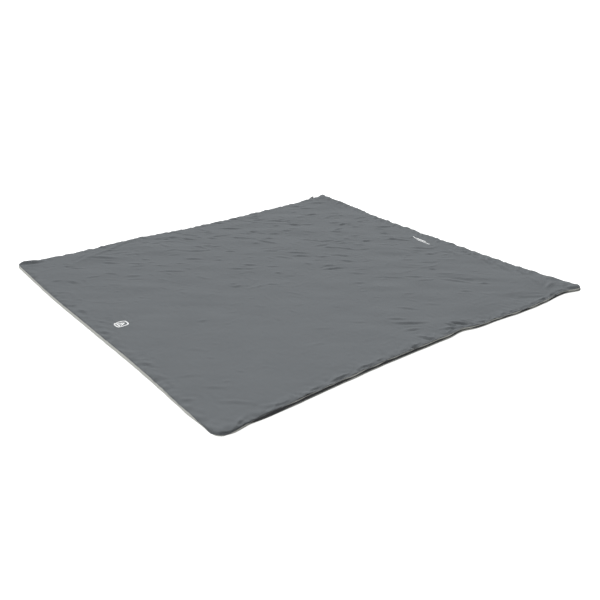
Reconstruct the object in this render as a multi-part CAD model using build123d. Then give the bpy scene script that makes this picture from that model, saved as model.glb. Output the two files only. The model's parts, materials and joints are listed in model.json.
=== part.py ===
"""Camp quilt, laid out flat and fully unzipped, as separate sewn and moulded pieces.

Units are millimetres, +Z is up. The origin is on the floor under the middle of the quilt.
X runs across the quilt, Y along it: the head edge is at -Y and the foot edge at +Y.
The quilt folds in half about the line x = 0, so everything soft is made in two halves.
A two-way zip runs down each side and round to the middle of the foot edge.
"""

import os

from build123d import *

# Fabric body, laid flat
HALF_WIDTH = 972.0
HALF_LENGTH = 1030.0
THICKNESS = 25.0
HEAD_CORNER_R = 70.0
FOOT_CORNER_R = 35.0
FOLD_GAP = 0.3  # each half stops this far short of the fold line
SKIN = 1.0  # shell and lining
TOP_EDGE_R = 12.0
BOTTOM_EDGE_R = 9.0
WADDING_INSET = 8.0
WADDING_CLEARANCE = 0.1

# Zip: tape sewn in between shell and lining, coil along the tape's outer edge
ZIP_Z = 11.0
TAPE_THICKNESS = 1.0
TAPE_SLOT = 1.2  # gap that the shell and the lining leave for the tape
TAPE_IN = 7.0  # hidden in the seam
TAPE_OUT = 8.5  # showing past the fabric edge
COIL_WIDTH = 3.0
COIL_HEIGHT = 2.4
COIL_ROUND = 0.7
COIL_OUT = TAPE_OUT + COIL_WIDTH / 2  # centreline, past the fabric edge
ZIP_TOP_Y = -955.0  # where the tape ends near the head
ZIP_FOOT_X = 38.0  # where the tape ends near the fold

# Small parts of the zip
STOP_LENGTH = 5.0
STOP_WIDTH = 5.0
STOP_HEIGHT = 4.4
PIN_LENGTH = 14.0
PIN_WIDTH = 3.4
PIN_HEIGHT = 2.8
FILM_LENGTH = 24.0
FILM_THICKNESS = 0.3
FILM_IN = 0.8  # the film starts this far past the fabric edge

# Slider, with the coil it runs on along its own X axis at the origin
SLIDER_LENGTH = 14.0
CHANNEL_PITCH = 2.4  # from one coil's centreline to the middle of the slider
SLIDER_HALF_WIDTH = 5.8
PLATE = 1.4
CHANNEL_HALF_HEIGHT = 1.6
FLANGE_WIDTH = 1.0
FLANGE_SLOT = 1.7
POST_WIDTH = 1.1
POST_LENGTH = 6.0
LUG_GAP = 3.2
LUG_THICKNESS = 1.0
LUG_LENGTH = 3.6
PIVOT_HEIGHT = 4.9
PIVOT_R = 0.7

# Pull tab and its moulded grip
EYE_R = 1.6
EYE_BORE_R = PIVOT_R + 0.05
TAB_WIDTH = 2.6
TAB_THICKNESS = 1.4
TAB_LENGTH = 17.0
TAB_HEAD_LENGTH = 6.0
TAB_HEAD_WIDTH = 6.0
GRIP_START = 11.5
GRIP_LENGTH = 36.0
GRIP_WIDTH = 19.0
GRIP_THICKNESS = 3.2
GRIP_ROUND = 1.2
GRIP_DISH = 0.7
GRIP_RIM = 3.6

# Where the sliders stand when the quilt lies open
SIDE_SLIDER_Y = 922.0
FOOT_SLIDER_X = -900.0
SIDE_PULL_TILT = 22.0  # degrees; the side pull stands up a little, the foot pull lies flat


def half_face(grow, fold_x):
    """Plan outline of the left half, grown outwards by grow, ending at fold_x."""
    x, y = HALF_WIDTH + grow, HALF_LENGTH + grow
    head_r, foot_r = HEAD_CORNER_R + grow, FOOT_CORNER_R + grow
    with BuildSketch() as plan:
        with BuildLine():
            Line((fold_x, -y), (-x + head_r, -y))
            RadiusArc((-x + head_r, -y), (-x, -y + head_r), head_r)
            Line((-x, -y + head_r), (-x, y - foot_r))
            RadiusArc((-x, y - foot_r), (-x + foot_r, y), foot_r)
            Line((-x + foot_r, y), (fold_x, y))
            Line((fold_x, y), (fold_x, -y))
        make_face()
    return plan.sketch


def slab(grow, fold_x, low, high):
    """A flat slab over the left half's plan."""
    return Pos(0, 0, low) * extrude(half_face(grow, fold_x), high - low)


def rounded(block, z, radius):
    """The block with its outer edges at height z rounded; the fold edge stays square."""
    rim = [
        edge
        for edge in block.edges()
        if abs(edge.center().Z - z) < 0.01 and edge.bounding_box().min.X < -100
    ]
    return fillet(rim, radius)


def shell():
    low, high = ZIP_Z + TAPE_SLOT / 2, THICKNESS
    outside = rounded(slab(0, -FOLD_GAP, low, high), high, TOP_EDGE_R)
    inside = rounded(slab(-SKIN, 0, low - 1, high - SKIN), high - SKIN, TOP_EDGE_R - SKIN)
    return outside - inside


def lining():
    low, high = 0.0, ZIP_Z - TAPE_SLOT / 2
    outside = rounded(slab(0, -FOLD_GAP, low, high), low, BOTTOM_EDGE_R)
    inside = rounded(slab(-SKIN, 0, low + SKIN, high + 1), low + SKIN, BOTTOM_EDGE_R - SKIN)
    return outside - inside


def wadding():
    low, high = SKIN + WADDING_CLEARANCE, THICKNESS - SKIN - WADDING_CLEARANCE
    block = slab(-WADDING_INSET, -FOLD_GAP, low, high)
    block = rounded(block, high, TOP_EDGE_R - SKIN)
    return rounded(block, low, BOTTOM_EDGE_R - SKIN)


def along_zip(grow_in, grow_out, height, start_y, end_x):
    """A band that follows the zip from start_y down the side and round to end_x."""
    low = ZIP_Z - height / 2
    band = slab(grow_out, 0, low, low + height) - slab(grow_in, 1, low - 1, low + height + 1)
    reach = HALF_WIDTH + 100
    window = Pos(-(reach + end_x) / 2, 0, ZIP_Z) * Box(
        reach - end_x, 2 * (HALF_LENGTH + 100), 100
    )
    head_end = Pos(0, start_y - 1000, ZIP_Z) * Box(4 * HALF_WIDTH, 2000, 100)
    return (band & window) - head_end


def tape():
    return along_zip(-TAPE_IN, TAPE_OUT, TAPE_THICKNESS, ZIP_TOP_Y, ZIP_FOOT_X)


def coil():
    grow_in, grow_out = TAPE_OUT, TAPE_OUT + COIL_WIDTH
    start_y = ZIP_TOP_Y + STOP_LENGTH + 2
    end_x = ZIP_FOOT_X + PIN_LENGTH + 1
    band = along_zip(grow_in, grow_out, COIL_HEIGHT, start_y, end_x)
    outer_rim = [
        edge
        for edge in band.edges()
        if abs(abs(edge.center().Z - ZIP_Z) - COIL_HEIGHT / 2) < 0.01
        and edge.length > 10
    ]
    return fillet(outer_rim, COIL_ROUND)


def top_stop():
    """Crimped stop at the head end of the coil, closed over the edge of the tape."""
    body = Box(STOP_WIDTH, STOP_LENGTH, STOP_HEIGHT)
    body = fillet(body.edges().filter_by(Axis.Y), 1.2)
    body -= Pos(STOP_WIDTH / 2, 0, 0) * Box(STOP_WIDTH, STOP_LENGTH + 1, TAPE_SLOT)
    x = -(HALF_WIDTH + COIL_OUT)
    return Pos(x, ZIP_TOP_Y + STOP_LENGTH / 2 + 1, ZIP_Z) * body


def end_pin():
    """Pin at the foot end of the coil, where the two zip halves are joined."""
    body = Box(PIN_LENGTH, PIN_WIDTH, PIN_HEIGHT)
    body = fillet(body.edges().filter_by(Axis.X), 1.0)
    y = HALF_LENGTH + TAPE_OUT + PIN_WIDTH / 2
    return Pos(-(ZIP_FOOT_X + PIN_LENGTH / 2), y, ZIP_Z) * body


def end_film():
    """Clear film that stiffens the end of the tape beside the pin."""
    width = TAPE_OUT - FILM_IN
    y = HALF_LENGTH + FILM_IN + width / 2
    z = ZIP_Z + (TAPE_THICKNESS + FILM_THICKNESS) / 2
    return Pos(-(ZIP_FOOT_X + FILM_LENGTH / 2), y, z) * Box(FILM_LENGTH, width, FILM_THICKNESS)


def slider_body():
    """Cast slider: two plates, a post between its two channels, side lips and pivot lugs."""
    middle = CHANNEL_PITCH
    half_height = CHANNEL_HALF_HEIGHT + PLATE
    body = Pos(0, middle, 0) * Box(SLIDER_LENGTH, 2 * SLIDER_HALF_WIDTH, 2 * half_height)
    body = fillet(body.edges().filter_by(Axis.Z), 2.4)
    inner_half_width = SLIDER_HALF_WIDTH - FLANGE_WIDTH
    channel = Box(SLIDER_LENGTH + 1, 2 * inner_half_width, 2 * CHANNEL_HALF_HEIGHT)
    slot = Box(SLIDER_LENGTH + 1, 2 * SLIDER_HALF_WIDTH + 1, FLANGE_SLOT)
    body -= Pos(0, middle, 0) * (channel + slot)
    post = Box(POST_LENGTH, POST_WIDTH, 2 * CHANNEL_HALF_HEIGHT + 1)
    post = fillet(post.edges().filter_by(Axis.Z), 0.5)
    body += Pos(SLIDER_LENGTH / 2 - POST_LENGTH / 2 - 0.8, middle, 0) * post
    lug_height = PIVOT_HEIGHT + PIVOT_R + 0.6 - half_height
    for side in (-1, 1):
        y = middle + side * (LUG_GAP + LUG_THICKNESS) / 2
        lug = Box(LUG_LENGTH, LUG_THICKNESS, lug_height + 0.5)
        body += Pos(0, y, half_height + (lug_height - 0.5) / 2) * lug
    pivot = Rot(90, 0, 0) * Cylinder(PIVOT_R, LUG_GAP + 1)
    return body + Pos(0, middle, PIVOT_HEIGHT) * pivot


def pull_tab():
    """Stamped tab with a rolled eye that turns on the slider's pivot."""
    eye = Rot(90, 0, 0) * Cylinder(EYE_R, TAB_WIDTH)
    arm = Pos(TAB_LENGTH / 2, 0, 0) * Box(TAB_LENGTH, TAB_WIDTH, TAB_THICKNESS)
    head_x = TAB_LENGTH - TAB_HEAD_LENGTH / 2
    head = Pos(head_x, 0, 0) * Box(TAB_HEAD_LENGTH, TAB_HEAD_WIDTH, TAB_THICKNESS)
    bore = Rot(90, 0, 0) * Cylinder(EYE_BORE_R, TAB_WIDTH + 1)
    return Pos(0, CHANNEL_PITCH, PIVOT_HEIGHT) * (eye + arm + head - bore)


def pull_grip():
    """Soft moulded oval grip, dished on both faces, cast round the head of the tab."""
    with BuildSketch() as outline:
        SlotOverall(GRIP_LENGTH, GRIP_WIDTH)
    grip = Pos(0, 0, -GRIP_THICKNESS / 2) * extrude(outline.sketch, GRIP_THICKNESS)
    grip = fillet(grip.edges(), GRIP_ROUND)
    with BuildSketch() as dish_outline:
        SlotOverall(GRIP_LENGTH - 2 * GRIP_RIM, GRIP_WIDTH - 2 * GRIP_RIM)
    for side in (-1, 1):
        low = GRIP_THICKNESS / 2 - GRIP_DISH if side > 0 else -GRIP_THICKNESS / 2 - 1
        grip -= Pos(0, 0, low) * extrude(dish_outline.sketch, GRIP_DISH + 1)
    grip = Pos(GRIP_START + GRIP_LENGTH / 2, CHANNEL_PITCH, PIVOT_HEIGHT) * grip
    return grip - pull_tab()


def tilted(piece, degrees):
    """A pull turned up about its pivot."""
    pivot = Pos(0, CHANNEL_PITCH, PIVOT_HEIGHT)
    return pivot * Rot(0, -degrees, 0) * Pos(0, -CHANNEL_PITCH, -PIVOT_HEIGHT) * piece


def on_side(piece):
    """From the slider's own axes to the left side: along +Y, outwards -X."""
    return Pos(-(HALF_WIDTH + COIL_OUT), SIDE_SLIDER_Y, ZIP_Z) * Rot(0, 0, 90) * piece


def on_foot(piece):
    """From the slider's own axes to the foot edge: along X, outwards +Y."""
    return Pos(FOOT_SLIDER_X, HALF_LENGTH + COIL_OUT, ZIP_Z) * piece


def other_half(piece):
    return mirror(piece, about=Plane.YZ)


def parts():
    both_halves = {
        "shell": shell(),
        "lining": lining(),
        "wadding": wadding(),
        "zip_tape": tape(),
        "zip_coil": coil(),
        "top_stop": top_stop(),
        "end_film": end_film(),
    }
    made = {}
    for name, piece in both_halves.items():
        made[f"{name}_left"] = piece
        made[f"{name}_right"] = other_half(piece)
    made["holding_pin"] = end_pin()
    made["insertion_pin"] = other_half(end_pin())
    for name, piece, tilt in (
        ("slider_body", slider_body(), 0.0),
        ("pull_tab", pull_tab(), SIDE_PULL_TILT),
        ("pull_grip", pull_grip(), SIDE_PULL_TILT),
    ):
        made[f"side_{name}"] = on_side(tilted(piece, tilt))
        made[f"foot_{name}"] = on_foot(piece)
    return made


os.makedirs("parts", exist_ok=True)
for node, solid in parts().items():
    export_step(solid, f"parts/{node}.step")
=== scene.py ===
"""Camp quilt laid out flat and fully unzipped: lining, wadding, shell, prints, zips and stitching.

Lengths are metres unless a name says otherwise. The origin is on the floor under the middle of
the quilt, X runs across it, Y from the head edge (-Y) to the foot edge (+Y), and Z is up.
The right half folds over onto the left half about the line x = 0.
"""

import json
import math

import bpy
import numpy as np
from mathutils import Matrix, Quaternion, Vector
from mathutils.bvhtree import BVHTree


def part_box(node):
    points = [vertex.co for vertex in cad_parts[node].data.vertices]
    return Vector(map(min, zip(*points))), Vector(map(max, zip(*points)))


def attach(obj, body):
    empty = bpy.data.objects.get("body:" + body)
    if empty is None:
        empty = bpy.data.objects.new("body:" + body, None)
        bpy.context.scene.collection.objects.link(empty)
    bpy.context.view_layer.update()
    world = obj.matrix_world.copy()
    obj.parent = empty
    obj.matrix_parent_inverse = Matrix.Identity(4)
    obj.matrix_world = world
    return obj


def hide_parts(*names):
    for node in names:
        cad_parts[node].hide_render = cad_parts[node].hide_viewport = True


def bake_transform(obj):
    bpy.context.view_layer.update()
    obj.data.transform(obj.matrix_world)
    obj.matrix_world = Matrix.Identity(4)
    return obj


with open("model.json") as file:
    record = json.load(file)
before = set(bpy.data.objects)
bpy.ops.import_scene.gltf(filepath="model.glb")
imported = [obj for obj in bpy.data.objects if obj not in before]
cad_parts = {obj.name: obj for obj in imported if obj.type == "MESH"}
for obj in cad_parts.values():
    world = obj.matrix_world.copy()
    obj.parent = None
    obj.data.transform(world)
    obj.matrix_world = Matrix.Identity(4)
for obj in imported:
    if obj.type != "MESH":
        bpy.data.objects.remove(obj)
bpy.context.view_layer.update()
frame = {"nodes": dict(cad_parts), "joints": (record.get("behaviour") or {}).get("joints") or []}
MM = 0.001

# ---- View ---------------------------------------------------------------------------------------
# A three-quarter look down at the quilt from beyond its near right corner, from standing height.

camera = bpy.data.objects.new("camera", bpy.data.cameras.new("camera"))
camera.data.lens = 45.46
camera.data.sensor_width = 36
camera.location = (2.875, -2.133, 1.481)
camera.rotation_euler = (math.radians(65.92), 0, math.radians(52.28))
bpy.context.scene.collection.objects.link(camera)
bpy.context.scene.camera = camera

# ---- Lining -------------------------------------------------------------------------------------
# The light underside: one piece of brushed polyester that lies on the floor, turns up round the
# edge as a low wall, and is sewn there to the shell and, on three sides, to the zip tape.

lining_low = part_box("lining_left")[0]
lining_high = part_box("lining_right")[1]
HALF_WIDTH = lining_high.x
HALF_LENGTH = -lining_low.y
ZIP_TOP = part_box("zip_tape_left")[0].y
CORNER_RADIUS = {(-1, -1): 34 * MM, (1, -1): 52 * MM, (-1, 1): 30 * MM, (1, 1): 26 * MM}
EDGE_EASE = 0.28  # how far in from an edge the pulled-about outline still shifts the cloth


def rising(value, start, end):
    """A smooth step: 0 before start, 1 after end."""
    t = np.clip((value - start) / (end - start), 0.0, 1.0)
    return t * t * (3.0 - 2.0 * t)


def hump(value, middle, spread):
    """A soft hump: 1 at the middle, falling away to both sides."""
    return np.exp(-(((value - middle) / spread) ** 2))


def curve_through(points):
    """A smooth curve through (place in metres, value in millimetres) points, level at both ends."""
    place, value = (np.array(column, float) for column in zip(*points))
    value = value * MM
    slope = np.gradient(value, place)
    slope[[0, -1]] = 0.0

    def curve(at):
        at = np.clip(at, place[0], place[-1])
        i = np.clip(np.searchsorted(place, at, side="right") - 1, 0, len(place) - 2)
        gap = place[i + 1] - place[i]
        u = (at - place[i]) / gap
        left = value[i] * (1 + 2 * u) * (1 - u) ** 2 + slope[i] * gap * u * (1 - u) ** 2
        right = value[i + 1] * u * u * (3 - 2 * u) + slope[i + 1] * gap * u * u * (u - 1)
        return left + right

    return curve


# How far the sewn edge lies outside (+) or inside (-) its cut line, along each side.
seam_pull = {
    "left": curve_through([
        (-1.03, 24), (-0.955, 6), (-0.885, 1), (-0.6, -2), (-0.335, 6), (-0.1, -16), (0.015, -22),
        (0.25, -24), (0.45, -18), (0.615, -8), (0.93, 0), (1.03, -4),
    ]),
    "right": curve_through([
        (-1.03, 42), (-0.9, 28), (-0.75, 22), (-0.5, 10), (-0.3, 1), (0.05, -3), (0.16, -4),
        (0.25, -11), (0.31, 4), (0.45, 11), (0.615, 25), (0.78, 25), (0.93, 16), (1.03, 40),
    ]),
    "foot": curve_through([
        (-1.0, 52), (-0.972, 34), (-0.948, 7), (-0.92, 4), (-0.85, 5), (-0.77, 16), (-0.4, -4),
        (-0.07, -6), (0.1, -6), (0.5, -2), (0.8, 15), (0.99, 34),
    ]),
    "head": curve_through([
        (-1.0, 0), (-0.8, 4), (-0.6, 10), (0.0, 8), (0.4, 5), (0.6, 8), (0.75, 13), (0.9, 13), (1.0, 14),
    ]),
}


def pulled(x, y, pull):
    """Points of the flat pattern after each edge is pulled out or in, easing off inwards."""
    to_left = rising(-x, HALF_WIDTH - EDGE_EASE, HALF_WIDTH) * pull["left"](y)
    to_right = rising(x, HALF_WIDTH - EDGE_EASE, HALF_WIDTH) * pull["right"](y)
    to_foot = rising(y, HALF_LENGTH - EDGE_EASE, HALF_LENGTH) * pull["foot"](x)
    to_head = rising(-y, HALF_LENGTH - EDGE_EASE, HALF_LENGTH) * pull["head"](x)
    return x - to_left + to_right, y + to_foot - to_head


def laid_out(a, b):
    """Square-cornered pattern points (a, b) with the corners rounded.

    Gives their place, how far in from the edge they are, and the way out to the edge.
    """
    x, y = a.copy(), b.copy()
    from_side, from_end = HALF_WIDTH - np.abs(a), HALF_LENGTH - np.abs(b)
    inward = np.minimum(from_side, from_end)
    out_x = np.where(from_side <= from_end, np.sign(a), 0.0)
    out_y = np.where(from_side <= from_end, 0.0, np.sign(b))
    for (side, end), radius in CORNER_RADIUS.items():
        p = (side * a - HALF_WIDTH + radius) / radius
        q = (end * b - HALF_LENGTH + radius) / radius
        corner = (p > 0) & (q > 0)
        p, q = p[corner], q[corner]
        round_p, round_q = p * np.sqrt(1 - q * q / 2), q * np.sqrt(1 - p * p / 2)
        reach = np.maximum(np.hypot(round_p, round_q), 1e-9)
        x[corner] = side * (HALF_WIDTH - radius + radius * round_p)
        y[corner] = end * (HALF_LENGTH - radius + radius * round_q)
        inward[corner] = radius * (1 - reach)
        out_x[corner], out_y[corner] = side * round_p / reach, end * round_q / reach
    return x, y, inward, out_x, out_y


def zipped(y):
    """1 along the zipped sides and foot, 0 along the head edge."""
    return rising(y, ZIP_TOP - 40 * MM, ZIP_TOP + 5 * MM)


def flattened(x, y):
    """1 where the quilt runs thin, along the far part of its right side, 0 elsewhere."""
    return rising(y, 0.14, 0.34) * rising(x, 0.80, 0.95)


def tucked(x, y):
    """1 at the near right corner, where the lining is tucked in under the shell."""
    return hump(x, 0.96, 0.10) * hump(y, -0.98, 0.12)


HEAD_SEAM, ZIP_SEAM = 20.5 * MM, 16.8 * MM  # heights of the seam between shell and lining
RIGHT_SEAM_RISE = 4.2 * MM
THIN_SEAM_DROP, TUCKED_SEAM_DROP, PIN_SEAM_DROP = 3.5 * MM, 10 * MM, 7 * MM


def seam_height(x, y):
    """The height of the seam, which rides up on the right and dips at three places.

    It dips where the quilt is thin, at the near right corner, and between the pins.
    """
    on_zip = zipped(y)
    height = HEAD_SEAM + (ZIP_SEAM - HEAD_SEAM) * on_zip
    height = height + RIGHT_SEAM_RISE * rising(x, 0.80, 0.95) * on_zip
    height = height - THIN_SEAM_DROP * flattened(x, y) - TUCKED_SEAM_DROP * tucked(x, y)
    return height - PIN_SEAM_DROP * hump(x, 0.0, 0.05) * rising(y, 0.95, 1.0)


def tip_lift(x, y):
    """How far three of the corners stand up, the far left one the most."""
    far_left = 18 * MM * hump(x, -0.92, 0.15) * hump(y, 1.05, 0.12)
    near_left = 4 * MM * hump(x, -0.98, 0.05) * hump(y, -0.98, 0.05)
    far_right = 3 * MM * hump(x, 0.96, 0.09) * hump(y, 1.03, 0.09)
    return far_left + near_left + far_right


SEAM_LIFT = 0.5  # the sewn edge rises only this share of what the puffed corner above it does


def waves(x, y, length, seed, stretch=1.0, heading=0.0, count=22):
    """A random swell of about unit height, crests about length apart, drawn out along heading."""
    random = np.random.default_rng(seed)
    along = (x * math.cos(heading) + y * math.sin(heading)) / stretch
    across = y * math.cos(heading) - x * math.sin(heading)
    total = 0.0
    for _ in range(count):
        turn, phase = random.uniform(0, math.tau, 2)
        wave_number = math.tau / (length * random.uniform(0.7, 1.5))
        total = total + np.sin(
            wave_number * (along * math.cos(turn) + across * math.sin(turn)) + phase
        )
    return total / math.sqrt(count / 2)


def pattern_rows(half, cell, roll, extra=()):
    """Pattern lines from -half to half: bunched over the rolled edges, then cell apart."""
    over_edge = roll * (1 - np.cos(np.radians([0, 24, 46, 68, 90])))
    inner = half - roll
    middle = np.linspace(-inner, inner, 2 * round(inner / cell) + 1)
    for line in extra:
        middle = np.append(middle[np.abs(middle - line) > 0.45 * (extra[1] - extra[0])], line)
    return np.unique(np.round(np.concatenate([over_edge - half, middle, half - over_edge]), 7))


def halved(rows):
    """The same pattern lines with one more midway between each pair."""
    return np.sort(np.concatenate([rows, (rows[1:] + rows[:-1]) / 2]))


def cloth_mesh(name, x, y, z, face_down=False):
    """A mesh object through a rectangular array of points."""
    index = np.arange(x.size).reshape(x.shape)
    corners = [index[:-1, :-1], index[1:, :-1], index[1:, 1:], index[:-1, 1:]]
    faces = np.stack(corners[::-1] if face_down else corners, -1).reshape(-1, 4)
    mesh = bpy.data.meshes.new(name)
    mesh.from_pydata(np.stack([x, y, z], -1).reshape(-1, 3).tolist(), [], faces.tolist())
    mesh.polygons.foreach_set("use_smooth", np.ones(len(faces), bool))
    made = bpy.data.objects.new(name, mesh)
    bpy.context.scene.collection.objects.link(made)
    return made


CELL = 15 * MM  # of the coarse pattern grid; the finished cloth has one more line between each
FOLD_LINES = np.arange(-6, 43, 6) * MM  # closer lines where the cloth turns over at the fold
SHELL_ROLL = 18 * MM  # width of the shell's rolled edge
LINING_ROLL = 9 * MM
SEAM_GAP = 1.0 * MM  # room for the zip tape between shell and lining

coarse_a = pattern_rows(HALF_WIDTH, CELL, SHELL_ROLL, FOLD_LINES)
coarse_b = pattern_rows(HALF_LENGTH, CELL, SHELL_ROLL)
fine_a, fine_b = np.meshgrid(halved(coarse_a), halved(coarse_b), indexing="ij")


HEAD_WALL_BULGE, HEAD_WALL_BULGE_LOSS = 5.5 * MM, 2.0 * MM  # of the lining's wall, less to the right
ZIP_WALL_HOLLOW = 2.0 * MM  # how far the wall draws in behind the zip tape
GROOVE_DEPTH, GROOVE_DEEPENS = 3.2 * MM, 4.5 * MM  # under the seam at the head, deeper to the right
TUCK_DEPTH, TUCK_BEAD = 14 * MM, 6 * MM  # at the near right corner, and the bead left standing in it
FLOOR_ROLL = 10 * MM  # the soft roll of lining on the floor along the right side
RUCK_HEIGHT = 1.5 * MM
ABOVE_FLOOR = 0.2 * MM


def lining_surface(a, b):
    """The lining over pattern points: flat on the floor, turned up round the edge to the seam."""
    flat_x, flat_y, inward, out_x, out_y = laid_out(a, b)
    on_zip = zipped(b)
    at_head = 1 - on_zip
    near_edge = 1 - rising(inward, LINING_ROLL, LINING_ROLL + 50 * MM)
    top = seam_height(a, b) - SEAM_GAP * on_zip
    share = np.clip(inward / LINING_ROLL, 0, 1)
    drop = np.sqrt(1 - (1 - share) ** 2)
    z = top * (1 - drop)
    head_bulge = (HEAD_WALL_BULGE - HEAD_WALL_BULGE_LOSS * rising(a, 0.3, 0.8)) * at_head
    bulge = (head_bulge - ZIP_WALL_HOLLOW * on_zip) * 2 * drop * (1 - share)
    groove = (GROOVE_DEPTH + GROOVE_DEEPENS * rising(a, 0.2, 0.8)) * at_head
    bulge = bulge - groove * hump(z, top - 3.5 * MM, 2.4 * MM)
    on_floor = hump(z, 4.4 * MM, 3.4 * MM) * (1 - rising(inward, LINING_ROLL, LINING_ROLL + 20 * MM))
    bulge = bulge + FLOOR_ROLL * rising(a, 0.85, 0.93) * on_zip * on_floor
    tuck = (TUCK_DEPTH - TUCK_BEAD * hump(z, 5 * MM, 2.5 * MM)) * drop
    bulge = bulge - tuck * tucked(a, b) * near_edge
    slack = 0.5 * MM * waves(a, b, 0.09, 31) * (1 - rising(inward, 0, 20 * MM))
    x, y = pulled(flat_x, flat_y, seam_pull)
    x, y = x + out_x * (bulge + slack), y + out_y * (bulge + slack)
    rucks = waves(a, b, 0.16, 5, 3.0, math.radians(40)) + 0.6 * waves(a, b, 0.07, 6, 2.5, 1.1)
    rise = np.clip(rucks - 0.7, 0, 2) * RUCK_HEIGHT * rising(inward, 0.03, 0.11)
    return x, y, z + rise + ABOVE_FLOOR + SEAM_LIFT * tip_lift(x, y) * (1 - drop)


lining = cloth_mesh("lining", *lining_surface(fine_a, fine_b), face_down=True)


def add(tree, kind, inputs=None, **settings):
    """A node in a shader tree, with its settings, and its inputs given values or linked."""
    made = tree.nodes.new(kind)
    for name, value in settings.items():
        setattr(made, name, value)
    for name, value in (inputs or {}).items():
        if isinstance(value, bpy.types.NodeSocket):
            tree.links.new(value, made.inputs[name])
        else:
            made.inputs[name].default_value = value
    return made


def maths(tree, operation, first, second=0.0):
    """The result of one sum on two values or sockets."""
    return add(tree, "ShaderNodeMath", {0: first, 1: second}, operation=operation).outputs[0]


def effect_group(name, inputs, outputs):
    """An empty node group with named float inputs (name: default) and float outputs."""
    group = bpy.data.node_groups.new(name, "ShaderNodeTree")
    for label, default in inputs.items():
        socket = group.interface.new_socket(label, in_out="INPUT", socket_type="NodeSocketFloat")
        socket.default_value = default
    for label in outputs:
        group.interface.new_socket(label, in_out="OUTPUT", socket_type="NodeSocketFloat")
    given = group.nodes.new("NodeGroupInput").outputs
    result = group.nodes.new("NodeGroupOutput").inputs
    return group, given, result


def use(tree, group, inputs=None):
    """A node group placed in a tree."""
    return add(tree, "ShaderNodeGroup", inputs, node_tree=group).outputs


def blend_colours(tree, share, first, second):
    mix = add(tree, "ShaderNodeMix", data_type="RGBA")
    mix.inputs[6].default_value, mix.inputs[7].default_value = (*first, 1), (*second, 1)
    tree.links.new(share, mix.inputs[0])
    return mix.outputs[2]


def relief(tree, height, distance, strength=1.0, under=None):
    """A bump of that many metres, on top of an earlier one."""
    inputs = {"Height": height, "Distance": distance, "Strength": strength}
    if under is not None:
        inputs["Normal"] = under
    return add(tree, "ShaderNodeBump", inputs).outputs["Normal"]


def new_material(name):
    """A material with its Principled shader, ready for nodes."""
    material = bpy.data.materials.new(name)
    material.use_nodes = True
    return material, material.node_tree, material.node_tree.nodes["Principled BSDF"]


def plain_weave():
    """Threads over and under: Height of the weave, and Shade, painted shade darker between the threads
    plus random slub tone.
    """
    group, given, result = effect_group(
        "plain_weave", {"Threads per metre": 2500.0, "Slub": 0.3}, ["Height", "Shade"]
    )
    place = add(group, "ShaderNodeTexCoord").outputs["Object"]
    axis = add(group, "ShaderNodeSeparateXYZ", {0: place}).outputs
    turns = maths(group, "MULTIPLY", given["Threads per metre"], math.pi)
    warp = maths(group, "SINE", maths(group, "MULTIPLY", maths(group, "ADD", axis[0], axis[2]), turns))
    weft = maths(group, "SINE", maths(group, "MULTIPLY", maths(group, "ADD", axis[1], axis[2]), turns))
    over = maths(group, "GREATER_THAN", maths(group, "MULTIPLY", warp, weft), 0.0)
    threads = add(group, "ShaderNodeMix", {0: over})
    group.links.new(maths(group, "ABSOLUTE", warp), threads.inputs[2])
    group.links.new(maths(group, "ABSOLUTE", weft), threads.inputs[3])
    stretch = add(group, "ShaderNodeMapping", {"Vector": place, "Scale": (900, 22, 900)})
    slub = add(group, "ShaderNodeTexNoise", {"Vector": stretch.outputs[0], "Scale": 1.0}).outputs[0]
    slub = maths(group, "MULTIPLY", maths(group, "SUBTRACT", slub, 0.5), given["Slub"])
    group.links.new(threads.outputs[0], result["Height"])
    # Shade is painted shade in the gaps between the threads, plus random slub tone along them.
    group.links.new(maths(group, "ADD", threads.outputs[0], slub), result["Shade"])
    return group


def cloth_crinkle():
    """Fine creasing pressed into thin cloth by packing: its Height, and a soft blotchy Shade."""
    group, given, result = effect_group("cloth_crinkle", {"Scale": 1.0}, ["Height", "Shade"])
    place = add(group, "ShaderNodeTexCoord").outputs["Object"]
    turned = add(group, "ShaderNodeMapping", {"Vector": place, "Scale": (1.0, 0.34, 1.0)})
    turned.inputs["Rotation"].default_value = (0, 0, math.radians(40))
    broad = add(group, "ShaderNodeTexNoise", {
        "Vector": turned.outputs[0], "Scale": maths(group, "MULTIPLY", given["Scale"], 17.0),
        "Detail": 4.0, "Roughness": 0.55, "Distortion": 0.6,
    }).outputs[0]
    sharp = add(group, "ShaderNodeTexVoronoi", {
        "Vector": turned.outputs[0], "Scale": maths(group, "MULTIPLY", given["Scale"], 34.0),
    }, feature="SMOOTH_F1", voronoi_dimensions="3D").outputs["Distance"]
    height = maths(group, "ADD", broad, maths(group, "MULTIPLY", sharp, 0.35))
    blotch = add(group, "ShaderNodeTexNoise", {
        "Vector": place, "Scale": maths(group, "MULTIPLY", given["Scale"], 5.0), "Detail": 3.0,
    }).outputs[0]
    group.links.new(height, result["Height"])
    group.links.new(blotch, result["Shade"])
    return group


PLAIN_WEAVE = plain_weave()
CLOTH_CRINKLE = cloth_crinkle()


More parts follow.
